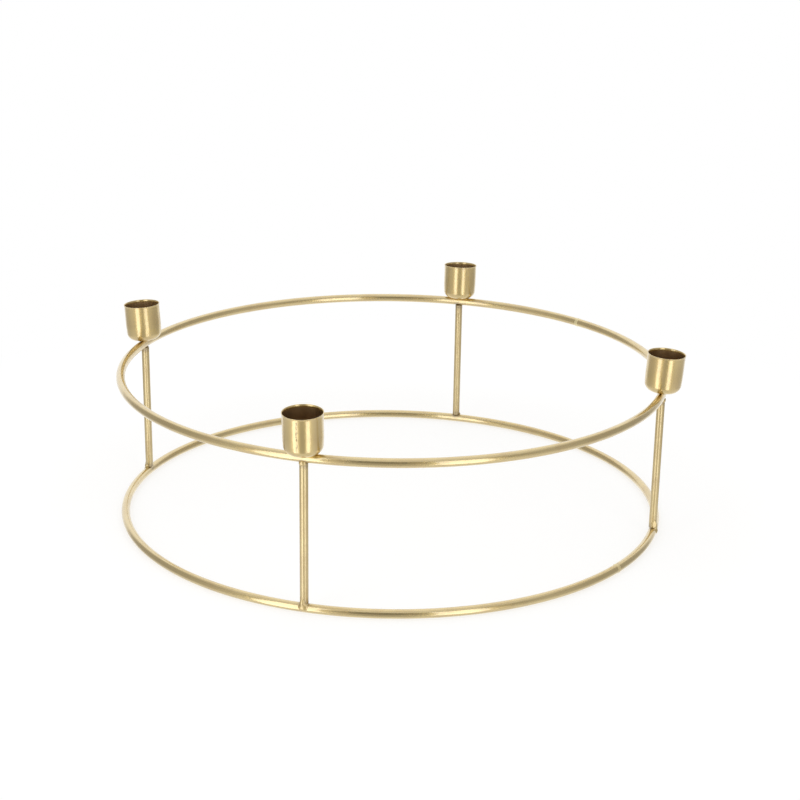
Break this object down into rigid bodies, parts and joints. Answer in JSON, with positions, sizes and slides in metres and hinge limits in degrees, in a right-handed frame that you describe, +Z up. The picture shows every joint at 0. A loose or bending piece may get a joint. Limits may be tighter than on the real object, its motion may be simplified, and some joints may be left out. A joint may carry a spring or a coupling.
{
  "type": "advent candle holder",
  "caption": "Open drum of gold wire: an upper and a lower ring joined by short posts, with drawn cups on the upper ring that hold dinner candles.",
  "frame": {"origin": "on the table, under the middle of the rings", "axes": "+Z up along the axis of both rings; +X through the right post and cup, +Y through the back ones, -Y through the front ones"},
  "size_m": [0.3712, 0.3712, 0.1209],
  "materials": {
    "gold_wire": "satin gold lacquer on steel wire",
    "gold_cup": "satin gold lacquer on drawn steel sheet",
    "gold_weld": "gold lacquer pooled over weld beads"
  },
  "bodies": {
    "root": {"lower_ring": "gold_wire", "upper_ring": "gold_wire", "right_post": "gold_wire", "back_post": "gold_wire", "left_post": "gold_wire", "front_post": "gold_wire", "right_candle_cup": "gold_cup", "back_candle_cup": "gold_cup", "left_candle_cup": "gold_cup", "front_candle_cup": "gold_cup", "lower_ring_seam_weld": "gold_weld", "upper_ring_seam_weld": "gold_weld", "right_post_foot_weld": "gold_weld", "right_post_top_weld": "gold_weld", "right_candle_cup_weld": "gold_weld", "back_post_foot_weld": "gold_weld", "back_post_top_weld": "gold_weld", "back_candle_cup_weld": "gold_weld", "left_post_foot_weld": "gold_weld", "left_post_top_weld": "gold_weld", "left_candle_cup_weld": "gold_weld", "front_post_foot_weld": "gold_weld", "front_post_top_weld": "gold_weld", "front_candle_cup_weld": "gold_weld"}
  },
  "joints": []
}
